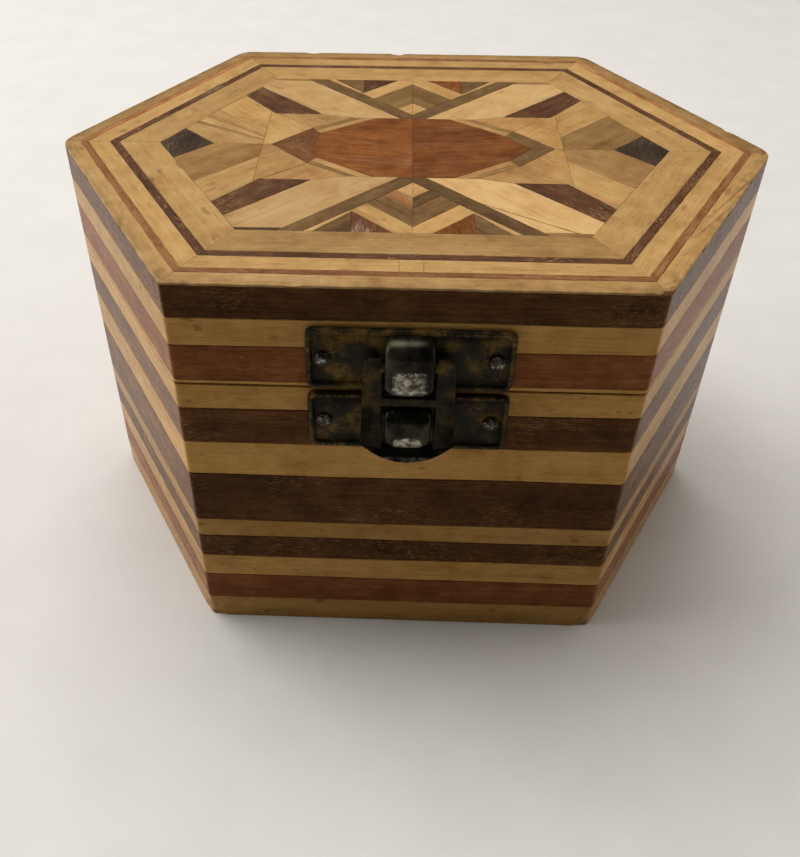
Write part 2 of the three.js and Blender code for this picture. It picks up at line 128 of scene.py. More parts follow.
class Graph:
    """A short way to build a material's nodes."""

    def __init__(self, name):
        self.material = bpy.data.materials.new(name)
        self.material.use_nodes = True
        self.tree = self.material.node_tree
        self.shader = self.tree.nodes["Principled BSDF"]

    def fill(self, node, inputs):
        """Links a node's inputs to the outputs of others, or sets them."""
        for key, value in inputs.items():
            if hasattr(value, "is_output"):
                self.tree.links.new(value, node.inputs[key])
            else:
                node.inputs[key].default_value = value
        return node

    def node(self, kind, inputs, **settings):
        """A new node with its settings made and its inputs filled."""
        node = self.tree.nodes.new("ShaderNode" + kind)
        for key, value in settings.items():
            setattr(node, key, value)
        return self.fill(node, inputs)

    def attribute(self, name, output="Fac"):
        return self.node("Attribute", {}, attribute_name=name).outputs[output]

    def math(self, operation, a, b=0.0, clamp=False):
        return self.node("Math", {0: a, 1: b}, operation=operation, use_clamp=clamp).outputs[0]

    def product(self, first, *others):
        for other in others:
            first = self.math("MULTIPLY", first, other)
        return first

    def weighted(self, *layers):
        """The sum of several layers, each given with its weight."""
        total = 0.0
        for layer, weight in layers:
            total = self.math("ADD", total, self.math("MULTIPLY", layer, weight))
        return total

    def scaled(self, vector, scale):
        return self.node("VectorMath", {0: vector, 1: scale}, operation="MULTIPLY").outputs[0]

    def noise(self, vector, scale=1.0, detail=3.0, roughness=0.55, distortion=0.0):
        inputs = {"Vector": vector, "Scale": scale, "Detail": detail, "Roughness": roughness}
        inputs["Distortion"] = distortion
        return self.node("TexNoise", inputs).outputs["Fac"]

    def spread(self, value, low, high, to_low=0.0, to_high=1.0):
        inputs = {"Value": value, "From Min": low, "From Max": high, "To Min": to_low, "To Max": to_high}
        return self.node("MapRange", inputs, interpolation_type="SMOOTHSTEP").outputs["Result"]

    def ramp(self, value, stops):
        node = self.node("ValToRGB", {"Fac": value})
        elements = node.color_ramp.elements
        while len(elements) < len(stops):
            elements.new(0.5)
        for element, (place, colour) in zip(elements, stops):
            element.position = place
            element.color = colour
        return node.outputs["Color"]

    def mix(self, factor, a, b, blend="MIX"):
        inputs = {"Factor": factor, "A": a, "B": b}
        return self.node("Mix", inputs, data_type="RGBA", blend_type=blend).outputs["Result"]

    def value_scaled(self, colour, value):
        return self.node("HueSaturation", {"Color": colour, "Value": value}).outputs["Color"]

    def bump(self, height, strength, distance):
        node = self.node("Bump", {"Height": height, "Strength": strength, "Distance": distance})
        self.fill(self.shader, {"Normal": node.outputs["Normal"]})

    def finish(self, colour, roughness, metallic=0.0, specular=0.5):
        inputs = {"Base Color": colour, "Roughness": roughness, "Metallic": metallic}
        inputs["Specular IOR Level"] = specular
        self.fill(self.shader, inputs)
        return self.material


FLECK = linear(176, 140, 92)
SCUFF = linear(214, 196, 172)
STAIN = linear(196, 160, 112)
KNOT = linear(74, 46, 24)
DIRT = linear(60, 38, 20)
RAMP_HALF_WIDTH = 0.13


def wood(name, colours, contrast, pores, flecks, scuffs=0.0, knots=0.0, gloss=0.34, shine=0.1):
    """Varnished wood with figure, pores, flecks, knots, whitish scuffs and dirt in the joints."""
    g = Graph(name)
    shade, body, light = (linear(*colour) for colour in colours)
    grain = g.attribute("grain", "Vector")

    figure = g.noise(g.scaled(grain, (0.022, 0.16, 0.16)), detail=4.0, roughness=0.6, distortion=0.6)
    streaks = g.noise(g.scaled(grain, (0.05, 1.3, 1.3)), detail=5.0, roughness=0.7, distortion=0.2)
    fine = g.noise(g.scaled(grain, (0.35, 5.5, 5.5)), detail=4.0, roughness=0.65)
    mottle = g.noise(grain, 0.22, detail=5.0, roughness=0.65)
    blend = g.weighted((figure, 0.2), (streaks, 0.2), (fine, 0.32), (mottle, 0.28))
    wide = RAMP_HALF_WIDTH / contrast
    colour = g.ramp(blend, ((0.5 - wide, shade), (0.5, body), (0.5 + wide, light)))

    pore = g.spread(g.noise(g.scaled(grain, (0.9, 8.0, 8.0)), detail=2.0), 0.6, 0.72)
    colour = g.mix(g.product(pore, pores), colour, shade)

    fleck_patches = g.spread(g.noise(grain, 0.08, detail=2.0), 0.42, 0.62)
    fleck_marks = g.spread(g.noise(g.scaled(grain, (1.0, 4.2, 4.2))), 0.54, 0.65)
    fleck = g.product(fleck_patches, fleck_marks, flecks)
    colour = g.mix(fleck, colour, g.mix(0.5, light, FLECK))

    scuff_patches = g.spread(g.noise(g.scaled(grain, (0.07, 0.2, 0.2)), roughness=0.6), 0.52, 0.66)
    scuff = g.product(scuff_patches, g.spread(fine, 0.38, 0.66), scuffs)
    colour = g.mix(scuff, colour, SCUFF)

    stain = g.spread(g.noise(grain, 0.07, detail=4.0, roughness=0.65), 0.5, 0.72, 0.0, 0.4)
    colour = g.mix(stain, colour, STAIN, "MULTIPLY")

    knot_places = g.noise(g.scaled(grain, (0.25, 0.6, 0.6)), detail=2.0, roughness=0.4)
    colour = g.mix(g.spread(knot_places, 0.66, 0.76, 0.0, knots), colour, KNOT)

    edge = g.attribute("edge")
    edge_dirt = g.spread(g.noise(grain, 0.5, detail=2.0), 0.35, 0.65, 0.08, 0.45)
    colour = g.mix(g.product(edge, edge_dirt), colour, DIRT)
    colour = g.value_scaled(colour, g.attribute("tone"))

    rub = g.spread(g.noise(grain, 0.35, detail=4.0, roughness=0.7), 0.55, 0.75)
    rough = g.math("ADD", gloss, g.product(rub, 0.14))
    rough = g.math("ADD", rough, g.product(streaks, 0.1), True)
    g.bump(g.math("ADD", g.product(pore, -0.8), g.math("ADD", streaks, fine)), 0.25, 0.00006)
    return g.finish(colour, rough, specular=shine)


def brass():
    """Dark brass with golden patches; polished places are black, rubbed places and painted highlights
    bright.
    """
    g = Graph("aged_brass")
    place = g.attribute("grain", "Vector")
    rub = g.attribute("edge")
    polish = g.attribute("polish")
    cloud = g.noise(place, 0.26, detail=4.0, roughness=0.6)
    speck = g.noise(place, 3.2, roughness=0.6)
    patina = g.ramp(
        g.weighted((cloud, 0.75), (speck, 0.25)),
        ((0.4, linear(18, 15, 6)), (0.5, linear(40, 32, 12)),
         (0.57, linear(82, 63, 22)), (0.7, linear(112, 86, 36))),
    )
    black = g.ramp(cloud, ((0.4, linear(20, 18, 14)), (0.64, linear(58, 54, 44))))
    colour = g.mix(polish, patina, black)

    scratch = g.noise(place, 1.6, detail=5.0, roughness=0.75)
    # Rubbed places, and the painted highlight on the hasp tongue's rim, turn gold or silver
    frayed = g.math("ADD", rub, g.math("SUBTRACT", scratch, 0.5))
    worn = g.spread(frayed, 0.36, 0.72)
    gold = linear(150, 122, 66)
    silver = g.ramp(
        g.noise(place, 0.9, detail=4.0, roughness=0.65),
        ((0.38, linear(58, 55, 48)), (0.5, linear(112, 107, 96)), (0.62, linear(176, 171, 157))),
    )
    colour = g.mix(worn, colour, g.mix(polish, gold, silver))
    colour = g.value_scaled(colour, g.attribute("tone"))

    rough = g.math("ADD", 0.38, g.product(cloud, 0.3))
    rough = g.math("SUBTRACT", rough, g.product(polish, 0.26))
    rough = g.math("ADD", rough, g.product(worn, 0.06), True)
    metallic = g.math("ADD", 0.3, g.product(polish, 0.5))
    g.bump(g.math("ADD", cloud, speck), 0.3, 0.00008)
    return g.finish(colour, rough, metallic, specular=0.15)


def steel():
    """Dull dark nail steel with silvery specks and painted shade around the rim."""
    g = Graph("nail_steel")
    place = g.attribute("grain", "Vector")
    cloud = g.noise(place, 1.6, detail=4.0, roughness=0.7)
    colour = g.ramp(
        cloud,
        ((0.44, linear(34, 29, 21)), (0.56, linear(74, 68, 57)), (0.66, linear(190, 188, 180))),
    )
    edge = g.attribute("edge")
    # Painted shade: a nail head's rim, where it sits in the plate, is painted dark brown
    colour = g.mix(g.product(edge, 0.8), colour, linear(40, 31, 20))
    g.bump(cloud, 0.4, 0.0001)
    return g.finish(colour, g.spread(cloud, 0.3, 0.7, 0.3, 0.5), metallic=0.8)


# Dark, middle and light colour, contrast, pores, flecks, scuffs, knots, gloss and shine of each wood
WOODS = {
    "pale": (((136, 101, 56), (178, 140, 87), (201, 166, 113)), 0.85, 0.35, 0.1, 0.0, 0.35),
    "strip": (((140, 98, 46), (182, 138, 74), (206, 164, 100)), 0.85, 0.35, 0.1, 0.0, 0.5, 0.2, 0.05),
    "cream": (((156, 119, 72), (195, 157, 104), (212, 180, 130)), 0.8, 0.3, 0.1, 0.0, 0.25),
    "tan": (((120, 86, 48), (160, 122, 74), (186, 150, 100)), 0.9, 0.4, 0.2, 0.0, 0.3),
    "olive": (((92, 68, 38), (132, 100, 58), (158, 126, 80)), 0.9, 0.4, 0.12),
    "umber": (((60, 42, 24), (102, 76, 46), (134, 104, 66)), 0.95, 0.4, 0.15),
    "russet": (((96, 56, 30), (136, 90, 53), (164, 122, 82)), 1.2, 0.4, 0.7),
    "red": (((84, 44, 20), (122, 72, 38), (150, 98, 56)), 1.0, 0.4, 0.3, 0.0, 0.0, 0.22, 0.035),
    "heart": (((80, 42, 16), (122, 69, 30), (152, 98, 50)), 1.1, 0.4, 0.08, 0.06),
    "dark": (((40, 24, 10), (74, 45, 20), (104, 70, 38)), 1.1, 0.5, 0.45, 0.0, 0.0, 0.2, 0.035),
    "bar": (((50, 29, 18), (82, 52, 33), (108, 75, 48)), 1.1, 0.5, 0.75, 0.12),
    "scuffed": (((74, 38, 20), (112, 68, 42), (140, 94, 62)), 1.1, 0.5, 0.9, 0.6),
    "black": (((32, 25, 20), (54, 42, 32), (82, 65, 50)), 1.1, 0.5, 0.4, 0.04),
    "plain": (((150, 112, 68), (188, 148, 98), (208, 172, 124)), 0.8, 0.4, 0.1, 0.0, 0.0, 0.55),
}
WOOD_NAMES = {"red": "red_brown", "dark": "dark_brown", "black": "black_brown"}
MATERIALS = {kind: wood(WOOD_NAMES.get(kind, kind) + "_wood", *look) for kind, look in WOODS.items()}
MATERIALS["brass"] = brass()
MATERIALS["steel"] = steel()


# Geometry


def ring_of(points, spacing):
    """Places along a closed outline, each with the direction that moves it inwards by one."""
    ring = []
    count = len(points)
    for i in range(count):
        before, here, after = (Vector(points[(i + k) % count]) for k in (-1, 0, 1))
        into = (here - before).normalized()
        away = (after - here).normalized()
        mitre = Vector((-into.y - away.y, into.x + away.x))
        ring.append((here, mitre * 2 / max(0.5, mitre.length_squared)))
        cuts = max(1, round((after - here).length / spacing))
        for k in range(1, cuts):
            ring.append((here.lerp(after, k / cuts), Vector((-away.y, away.x))))
    return ring


JITTER_PITCH = 0.4


def relief(points, profile, spacing=3.0, jitter=0.0):
    """A closed form over an outline; the profile lists inset, height and edge value from back to front."""
    ring = ring_of(points, spacing)
    count = len(ring)
    seed = rng.uniform(0, 90)
    shake = []
    for place, _ in ring:
        spot = Vector((place.x * JITTER_PITCH + seed, place.y * JITTER_PITCH, seed))
        shake.append(jitter * noise.noise(spot))
    verts = []
    edges = []
    for inset, height, edge in profile:
        for (place, inward), push in zip(ring, shake):
            spot = place + inward * (inset + push)
            verts.append(Vector((spot.x, spot.y, height)))
            edges.append(edge)
    faces = [tuple(reversed(range(count)))]
    for low in range(0, count * (len(profile) - 1), count):
        for i in range(count):
            j = (i + 1) % count
            faces.append((low + i, low + j, low + count + j, low + count + i))
    faces.append(tuple(range(count * (len(profile) - 1), count * len(profile))))
    return verts, faces, edges


def block_profile(bottom, top, bevel, dirt):
    """Profile of a piece with eased edges and dirt along its joints."""
    middle = (bottom + top) / 2
    return (
        (bevel + dirt, bottom, 0.0),
        (bevel, bottom, 1.0),
        (0.0, bottom + bevel, 1.0),
        (0.0, min(bottom + bevel + dirt, middle), 0.0),
        (0.0, max(top - bevel - dirt, middle), 0.0),
        (0.0, top - bevel, 1.0),
        (bevel, top, 1.0),
        (bevel + dirt, top, 0.0),
    )


def merge(parts):
    """Several forms as one list of vertices, faces and edge values."""
    verts, faces, edges = [], [], []
    for part_verts, part_faces, part_edges in parts:
        faces += [tuple(i + len(verts) for i in face) for face in part_faces]
        verts += part_verts
        edges += part_edges
    return verts, faces, edges


def add_piece(name, form, material, body, node, tone=1.0, grain=None, smooth=None, polish=None,
              matrix=None, wear=None):
    """A mesh from millimetres with its attributes, put in place, worn, tied to its body, with its node
    hidden.
    """
    verts, faces, edges = form
    mesh = bpy.data.meshes.new(name)
    mesh.from_pydata([v * MM for v in verts], [], faces)
    offset = Vector((rng.uniform(0, 400), rng.uniform(0, 400), rng.uniform(0, 400)))
    along = mesh.attributes.new("grain", "FLOAT_VECTOR", "POINT")
    along.data.foreach_set("vector", [c for p in grain or verts for c in p + offset])
    values = {
        "edge": edges,
        "tone": tone if isinstance(tone, list) else [tone] * len(verts),
        "polish": polish or [0.0] * len(verts),
    }
    for key, numbers in values.items():
        mesh.attributes.new(key, "FLOAT", "POINT").data.foreach_set("value", numbers)
    mesh.materials.append(MATERIALS[material])
    if smooth is not None:
        mesh.polygons.foreach_set("use_smooth", [True] * len(mesh.polygons))
        mesh.set_sharp_from_angle(angle=math.radians(smooth))
    mesh.update()
    if matrix is not None:
        mesh.transform(matrix)
    if wear is not None:
        for vertex in mesh.vertices:
            vertex.co = wear(vertex.co / MM) * MM
        mesh.update()
    piece = bpy.data.objects.new(name, mesh)
    bpy.context.collection.objects.link(piece)
    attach(piece, body)
    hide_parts(node)


def turned(verts, degrees):
    """Grain coordinates of a flat piece whose grain runs at an angle from +X."""
    turn = Matrix.Rotation(math.radians(-degrees), 3, "Z")
    return [turn @ v for v in verts]


def hexagon(inset):
    """Corners of the six-sided outline moved inwards, counterclockwise from the front left."""
    front = FRONT / 2 - inset * math.tan(math.pi / 6)
    depth = HALF_DEPTH - inset
    width = HALF_WIDTH - inset / math.sin(math.pi / 3)
    return [(-front, -depth), (front, -depth), (width, 0), (front, depth), (-front, depth), (-width, 0)]


def side_matrix(side):
    """A wall's own frame: x runs along the wall and y inwards."""
    corners = hexagon(0)
    start = Vector((*corners[side], 0))
    end = Vector((*corners[(side + 1) % 6], 0))
    return Matrix.Translation((start + end) / 2 * MM) @ Matrix.Rotation(side * math.pi / 3, 4, "Z")


# Wear

# Knocked-off foot: reach, skin that moves, share drawn in and rise
FOOT_REACH = 3.2
FOOT_SKIN = 0.27
FOOT_DRAW = 0.013
FOOT_RISE = 0.6

# Eased upper edge: height of the zone, width and depth
RIM_ZONE = 1.2
RIM_WIDTH = 0.7
RIM_EASE = 0.16

# How much a nick draws the edge in, for each millimetre of its depth
NICK_DRAW = 0.012


def corner_arcs():
    """Middle and outward direction of the arc at each worn corner."""
    arcs = []
    corners = [Vector(corner) for corner in hexagon(0)]
    for i, (corner, radius) in enumerate(zip(corners, CORNER_WEAR)):
        before = (corner - corners[i - 1]).normalized()
        after = (corner - corners[(i + 1) % 6]).normalized()
        outward = (before + after).normalized()
        arcs.append((corner - outward * radius / math.cos(math.pi / 6), outward))
    return arcs


ARCS = corner_arcs()


def inset_of(place):
    """Distance of a plan position from the nearest side of the box."""
    slant = (HALF_WIDTH - abs(place.x)) * math.cos(math.pi / 6) - abs(place.y) / 2
    return min(HALF_DEPTH - abs(place.y), slant)


def corner_distance(place):
    """Distance of a plan position from the nearest corner of the box."""
    return min((place.xy - Vector(corner)).length for corner in hexagon(0))


def rounded_corner(place):
    """A position drawn in where the vertical corner is worn round."""
    for middle, outward in ARCS:
        offset = place.xy - middle
        if offset.length < 1e-6 or offset.dot(outward) <= 0:
            continue
        angle = math.acos(min(1.0, offset.dot(outward) / offset.length))
        if angle < math.pi / 6:
            drawn = middle + offset * math.cos(math.pi / 6 - angle)
            return Vector((drawn.x, drawn.y, place.z))
    return place


def worn_foot(place):
    """Wear of the box walls: round corners, knocked off at the foot."""
    outermost = max(0.0, 1 - inset_of(place) / FOOT_SKIN)
    knock = outermost * max(0.0, 1 - (corner_distance(place) + place.z) / FOOT_REACH)
    spot = rounded_corner(place)
    draw = 1 - FOOT_DRAW * knock
    return Vector((spot.x * draw, spot.y * draw, spot.z + FOOT_RISE * knock))


def worn_rim(place):
    """Wear of the lid walls: round corners and an eased upper edge."""
    spot = rounded_corner(place)
    if place.z < HEIGHT - RIM_ZONE:
        return spot
    ease = max(0.0, 1 - inset_of(place) / RIM_WIDTH) ** 2
    return Vector((spot.x, spot.y, spot.z - RIM_EASE * ease))


def worn_top(place):
    """Wear of the veneers: the same, and nicks that show the dark wood below."""
    spot = worn_rim(place)
    for where, radius, depth in NICKS:
        bite = depth * max(0.0, 1 - (place.xy - Vector(where)).length_squared / radius**2)
        draw = 1 - NICK_DRAW * bite
        spot = Vector((spot.x * draw, spot.y * draw, spot.z - bite))
    return spot


# Walls

# Edges of the strips; a strip lower than THIN_STRIP gets the smaller bevel
THIN_STRIP = 1.0
STRIP_BEVEL = 0.1
THIN_BEVEL = 0.06
STRIP_DIRT = 0.18
STRIP_DIRT_SHARE = 0.6
STRIP_SPACING = 1.5

# Extra points near the ends of a wall, where the worn corner bends it
CORNER_RUNS = (3.2, 2.5, 1.9, 1.3, 0.8, 0.35, 0.0)

# How far a glue line strays from straight, and how fast along the wall
WAVE_HEIGHT = 0.22
WAVE_PITCH = 0.035

# Room around a panel, and its edges
PANEL_PLAY = 0.2
PANEL_BEVEL = 0.2
PANEL_DIRT = 1.2
PANEL_SPACING = 4.0


def wave(seam, side, x):
    """How far the glue line of one seam and side strays at x."""
    return WAVE_HEIGHT * noise.noise(Vector((x * WAVE_PITCH, seam * 7.3, side * 3.1)))


def wall_outline(length):
    """Plan of one wall board with mitred ends."""
    end = length / 2 - GLUE / 2
    right = [(end - run, 0.0) for run in CORNER_RUNS]
    right.append((end - WALL * math.tan(math.pi / 6), WALL))
    return right + [(-x, y) for x, y in reversed(right)]


def add_walls(body, strips, bottom, wear):
    """The six walls of a body, each a stack of glued strips."""
    for side, side_name in enumerate(SIDES):
        slanted = side % 3 != 0
        outline = wall_outline(SLANT if slanted else FRONT)
        low = bottom
        for i, (high, kind, tone) in enumerate(strips):
            first = i == 0
            last = i == len(strips) - 1
            z0 = low + (0 if first else GLUE / 2)
            z1 = high - (0 if last else GLUE / 2)
            bevel = STRIP_BEVEL if z1 - z0 > THIN_STRIP else THIN_BEVEL
            verts, faces, edges = relief(outline, block_profile(z0, z1, bevel, STRIP_DIRT), STRIP_SPACING)
            for v in verts:
                share = (v.z - z0) / (z1 - z0)
                lower = 0 if first else wave(low, side, v.x)
                upper = 0 if last else wave(high, side, v.x)
                v.z += lower * (1 - share) + upper * share
            edges = [STRIP_DIRT_SHARE * edge for edge in edges]
            grain = [Vector((v.x, v.z, v.y)) for v in verts]
            # Painted light: a slanted wall's wood is painted paler for the light and sheen it catches
            tone *= SLANT_PAINTED_LIGHT[kind] if slanted else 1.0
            tone *= rng.uniform(0.94, 1.06)
            name = f"{body}_{side_name}_strip_{i + 1}"
            node = f"{body}_wall_{side_name}"
            add_piece(name, (verts, faces, edges), kind, body, node, tone, grain,
                      matrix=side_matrix(side), wear=wear)
            low = high


def add_panels():
    """The boards that close the box below and the lid above."""
    outline = hexagon(WALL + PANEL_PLAY)
    for name, body, z0, z1 in (
        ("base_panel", "box", 0.0, BASE),
        ("lid_panel", "lid", PANEL_UNDERSIDE, PANEL_TOP),
    ):
        form = relief(outline, block_profile(z0, z1, PANEL_BEVEL, PANEL_DIRT), PANEL_SPACING)
        add_piece(name + "_board", form, "plain", body, name)


# Marquetry

# Dirt on the lid: how strong and how wide
EDGE_GRIME = 0.8
EDGE_GRIME_WIDTH = 1.3
CORNER_GRIME = 0.7
CORNER_GRIME_WIDTH = 7

BORDER_SPACING = 0.8
TILE_SPACING = 2.0
TILE_JITTER = 0.06
TILE_DROP = 0.03


def grime(place):
    """Dirt on the lid, thickest along its outer edge and at its corners."""
    along_edge = EDGE_GRIME * max(0.0, 1 - inset_of(place) / EDGE_GRIME_WIDTH)
    at_corner = CORNER_GRIME * max(0.0, 1 - corner_distance(place) / CORNER_GRIME_WIDTH)
    return min(1.0, along_edge + at_corner)


def veneer(name, points, kind, node, degrees, tone=1.0):
    """One veneer tile of the lid, a little uneven in outline and height."""
    area = sum(a[0] * b[1] - b[0] * a[1] for a, b in zip(points, points[1:] + points[:1]))
    outline = points if area > 0 else points[::-1]
    top = HEIGHT - rng.uniform(0.0, TILE_DROP)
    profile = (
        (JOINT / 2, HEIGHT - SHEET, 1.0),
        (JOINT / 2, top - 0.04, 0.8),
        (JOINT / 2 + 0.05, top - 0.01, 0.6),
        (JOINT / 2 + 0.14, top, 0.0),
    )
    spacing = BORDER_SPACING if node.startswith("border") else TILE_SPACING
    verts, faces, edges = relief(outline, profile, spacing, TILE_JITTER)
    tone *= rng.uniform(0.95, 1.05)
    edges = [max(edge, grime(v)) for edge, v in zip(edges, verts)]
    form = (verts, faces, edges)
    add_piece(name, form, kind, "lid", node, tone, turned(verts, degrees), wear=worn_top)


def add_border():
    """The five border bands, each of six mitred strips."""
    outside = 0.0
    for node, width, kind, slot, tones in BORDER:
        outer = hexagon(outside)
        inner = hexagon(outside + width)
        for side, side_name in enumerate(SIDES):
            name = f"{node}_{side_name}"
            after = (side + 1) % 6
            cuts = CROSS_JOINTS.get(name, ())
            ends = [(outer[side], inner[side])]
            ends += [((x, outer[side][1]), (x, inner[side][1])) for x in cuts]
            ends.append((outer[after], inner[after]))
            for k, (start, stop) in enumerate(zip(ends, ends[1:])):
                points = [start[0], stop[0], stop[1], start[1]]
                piece = f"{name}_{k + 1}" if cuts else name
                veneer(piece, points, kind, node, side * 60, tones[side])
        outside += width


QUARTERS = ("front_left", "front_right", "back_right", "back_left")

# The field: half its size and where joints meet its slanted edge
FIELD_X = 44.83
FIELD_Y = 30.6
EDGE_JOINTS = (27.6, 29.7, 32.3, 36.37)

# The lozenge: its half height, its tip and the corners of its heart
LOZENGE_Y = 12
TIP = (25, 0)
HEART_CORNER = (16.6, 5.0)
HEART_TOP = (6.8, LOZENGE_Y)

# Where the heart ends on the middle line; it is blunt at the left
HEART_END = {"left": 17.6, "right": 20.8}

# Inner and side corners of a side rhombus
RHOMBUS_INNER = (35.2, 0)
RHOMBUS_SIDE = (41.33, 6.1)

# Inner point of a V, and where the layers of its fan cross the middle line
V_INSIDE = 13.8
FAN_LAYERS = (19.2, 22.9, 28.7, 33.6)


def fan_line(total):
    """Where the line x + y = total meets the inner edge of a V arm."""
    return ((total - V_INSIDE) / 2, (total + V_INSIDE) / 2)


def quarter_tiles(side, end):
    """Tiles of the quarter with positive x and y: name, node, slot, grain angle and outline."""
    fan = f"fan_{end}"
    side_fan = f"side_fan_{side}"
    broad = f"broad_tile_{end}_{side}"

    shoulder = (18.2, 7.2)
    sliver_low = (17.5, 6.2)
    heart_end = (HEART_END[side], 0)
    v_foot, sliver_high, flat = ((x, LOZENGE_Y) for x in (2.3, 9.2, 11.0))
    bar_point, wedge_heel, bar_heel = ((x, 13.4) for x in (16.8, 25.2, 25.6))
    seam_low, seam_middle, seam_high = ((26.5, y) for y in (0, 4.8, 14.51))
    edge_1, edge_2, edge_3, edge_4 = ((x, (FIELD_X - x) * math.tan(math.pi / 3)) for x in EDGE_JOINTS)

    fan_corner = (9.6, 24.0)
    pale_foot, fan_foot, fan_edge = ((x, FIELD_Y) for x in (3.0, 9.6, 15.4))
    v_inner_end, v_end, line_end = ((x, FIELD_Y) for x in (16.8, 20.9, 27.17))
    line_start = (20.0, 29.7)
    arm_1, arm_2, arm_3, arm_4 = (fan_line(total) for total in FAN_LAYERS)
    mid_1, mid_2, mid_3 = ((0, total) for total in FAN_LAYERS[:3])

    return (
        ("sliver_outer", "lozenge_heart", "red_veneer", -34, [shoulder, flat, sliver_high, sliver_low]),
        ("sliver_inner", "lozenge_heart", "red_veneer", -34,
         [sliver_low, sliver_high, HEART_TOP, HEART_CORNER]),
        ("tip", f"lozenge_tip_{side}", "dark_veneer", -47, [TIP, shoulder, HEART_CORNER, heart_end]),
        ("arm", f"v_arms_{end}", "dark_veneer", 45,
         [(0, LOZENGE_Y), v_foot, v_end, v_inner_end, (0, V_INSIDE)]),
        ("diamond", fan, "olive_veneer", -45, [(0, V_INSIDE), arm_1, mid_1]),
        ("chevron_inner", fan, "olive_veneer", -45, [arm_1, arm_2, mid_2, mid_1]),
        ("chevron_brown", fan, "olive_veneer", -45, [arm_2, arm_3, mid_3, mid_2]),
        ("chevron_pale", fan, "olive_veneer", -45, [arm_3, arm_4, pale_foot, (0, FIELD_Y), mid_3]),
        ("corner_red", fan, "olive_veneer", 90, [fan_corner, fan_foot, pale_foot]),
        ("corner_olive", fan, "olive_veneer", 45, [fan_corner, fan_edge, fan_foot]),
        ("corner_line", fan, "olive_veneer", 45, [arm_4, v_inner_end, fan_edge, fan_corner]),
        ("broad", broad, "pale_veneer", 45, [v_foot, flat, bar_point, edge_2, edge_1, line_start]),
        ("edge_line", broad, "pale_veneer", 0, [line_start, edge_1, line_end, v_end]),
        ("bar", f"dark_bar_{end}_{side}", "dark_veneer", 45, [bar_point, bar_heel, edge_3, edge_2]),
        ("wedge_tan", side_fan, "olive_veneer", 45, [shoulder, wedge_heel, bar_point, flat]),
        ("wedge_pale", side_fan, "olive_veneer", 45,
         [TIP, seam_low, seam_high, bar_heel, wedge_heel, shoulder]),
        ("band_inner", side_fan, "olive_veneer", 45, [seam_middle, edge_4, edge_3, seam_high]),
        ("band_outer", side_fan, "olive_veneer", 45,
         [seam_low, RHOMBUS_INNER, RHOMBUS_SIDE, edge_4, seam_middle]),
    )


# Wood and tone of each tile, in the order of the quarters; the striped band has its own
TILE_WOODS = {
    "sliver_outer": 4 * (("olive", 1.0),),
    "sliver_inner": 4 * (("tan", 1.0),),
    "tip": (("russet", 0.66), ("umber", 1.02), ("umber", 1.0), ("russet", 0.58)),
    "arm": (("umber", 0.93), ("umber", 0.8), ("umber", 1.0), ("umber", 0.95)),
    "diamond": 4 * (("pale", 1.0),),
    "chevron_inner": (("russet", 1.0), ("umber", 0.76), ("olive", 0.95), ("olive", 0.8)),
    "chevron_brown": (("umber", 1.25), ("umber", 1.2), ("olive", 0.72), ("olive", 0.76)),
    "chevron_pale": 4 * (("pale", 1.0),),
    "corner_red": (("scuffed", 0.8), ("red", 0.76), ("red", 1.0), ("bar", 0.75)),
    "corner_olive": (("umber", 0.7), ("umber", 1.0), ("umber", 1.0), ("umber", 1.0)),
    "corner_line": 4 * (("pale", 1.0),),
    "broad": (("cream", 0.78), ("cream", 1.0), ("cream", 0.86), ("cream", 0.83)),
    "edge_line": (("umber", 0.5), ("olive", 1.0), ("olive", 1.0), ("olive", 1.0)),
    "bar": 4 * (("bar", 1.0),),
    "wedge_tan": (("tan", 1.0), ("tan", 1.0), ("tan", 1.12), ("tan", 0.92)),
    "wedge_pale": (("tan", 1.0), ("tan", 1.14), ("tan", 1.25), ("pale", 1.0)),
    "band_inner": (("pale", 0.87), ("pale", 1.0), ("pale", 1.0), ("pale", 1.02)),
    "band_outer": (("olive", 1.2), ("tan", 0.82), ("olive", 0.92), None),
}


def add_middle_tiles():
    """The tiles that cross the middle line: the lozenge's heart and the side rhombi."""
    for side, flip, tone in (("left", -1, 0.96), ("right", 1, 0.74)):
        upper = [HEART_CORNER, HEART_TOP, (0, LOZENGE_Y)]
        lower = [(x, -y) for x, y in reversed(upper)]
        heart = lower + [(HEART_END[side], 0)] + upper
        placed = [(x * flip, y) for x, y in heart]
        veneer(f"heart_{side}", placed, "heart", "lozenge_heart", 8 * flip, tone)
        x, y = RHOMBUS_SIDE
        rhombus = [RHOMBUS_INNER, (x, -y), (FIELD_X, 0), (x, y)]
        placed = [(x * flip, y) for x, y in rhombus]
        veneer(f"rhombus_{side}", placed, "black", f"side_rhombus_{side}", 90)


# The broad tile at the front right has split along a crack
CRACKED_TILE = "broad_front_right"
CRACK = ((11.0, 20.7), (25.5, 29.72))
CRACK_LIP = ((11.45, 21.15), (25.1, 29.72))


def add_cracked_tile(points, kind, node, degrees, tone):
    pieces = {
        CRACKED_TILE: points[:-1] + [CRACK[1], CRACK[0]],
        f"{CRACKED_TILE}_splinter": [CRACK_LIP[0], CRACK_LIP[1], points[-1]],
    }
    for name, outline in pieces.items():
        veneer(name, [(x, -y) for x, y in outline], kind, node, degrees, tone)


# The outer band at the back left has five strips: where each begins across it, wood and tone
STRIPED_BAND = "band_outer_back_left"
BAND_STRIPS = (
    (0.0, "pale", 0.86),
    (0.3, "olive", 1.05),
    (0.4, "pale", 0.9),
    (0.62, "olive", 1.15),
    (0.72, "tan", 1.02),
)


